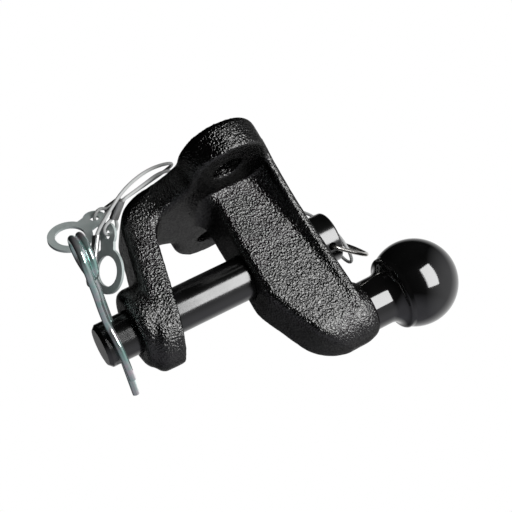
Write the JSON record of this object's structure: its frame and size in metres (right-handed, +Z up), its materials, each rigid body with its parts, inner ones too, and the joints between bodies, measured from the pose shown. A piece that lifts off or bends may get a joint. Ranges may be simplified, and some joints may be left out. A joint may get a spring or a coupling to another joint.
{
  "type": "flange tow ball coupling",
  "caption": "Bolt-on flange coupling with an arm carrying a 50 mm tow ball, and a jaw below it closed by a lift-out pin held by a spring clip, both on cable lanyards",
  "frame": {"origin": "Centre of the flange's mounting face, midway between its two bolt holes", "axes": "+X points away from the vehicle towards the ball, +Z is up along the pin and the ball, Y runs across between the bolt holes"},
  "size_m": [0.1543, 0.137, 0.199],
  "materials": {
    "cast_black": "black powder paint with a coarse cast grain, satin",
    "ball_black": "smooth gloss black over turned steel",
    "pin_black": "smooth gloss black over turned steel",
    "bail_steel": "bright drawn wire",
    "clip_zinc": "bright zinc plate with a faint bluish passivate",
    "cable_coat": "clear coat over a stranded steel cable",
    "ferrule_nickel": "crimped sleeve, satin",
    "tag_zinc": "zinc plate, satin"
  },
  "bodies": {
    "coupling": {"coupling_body": "cast_black", "tow_ball": "ball_black", "pin_lanyard_cable": "cable_coat", "clip_lanyard_cable": "cable_coat", "pin_lanyard_ferrules": "ferrule_nickel", "clip_lanyard_ferrules": "ferrule_nickel", "pin_lanyard_tag": "tag_zinc", "clip_lanyard_tag": "tag_zinc"},
    "pin": {"coupling_pin": "pin_black"},
    "bail": {"pin_bail": "bail_steel"},
    "clip": {"retaining_clip": "clip_zinc"}
  },
  "joints": [
    {"name": "pin_lift", "type": "slide", "parent": "coupling", "child": "pin", "axis": [0, 0, 1], "range_m": [0, 0.135], "deforming": ["pin_lanyard_cable"]},
    {"name": "bail_swing", "type": "hinge", "parent": "pin", "child": "bail", "pos_m": [0.064, 0, 0.041], "axis": [0.6293, -0.7771, 0], "range_deg": [-50, 130], "deforming": ["pin_lanyard_cable"]},
    {"name": "clip_pull", "type": "slide", "parent": "coupling", "child": "clip", "axis": [-0.7071, -0.7071, 0], "range_m": [0, 0.075], "deforming": ["clip_lanyard_cable", "retaining_clip"]}
  ]
}
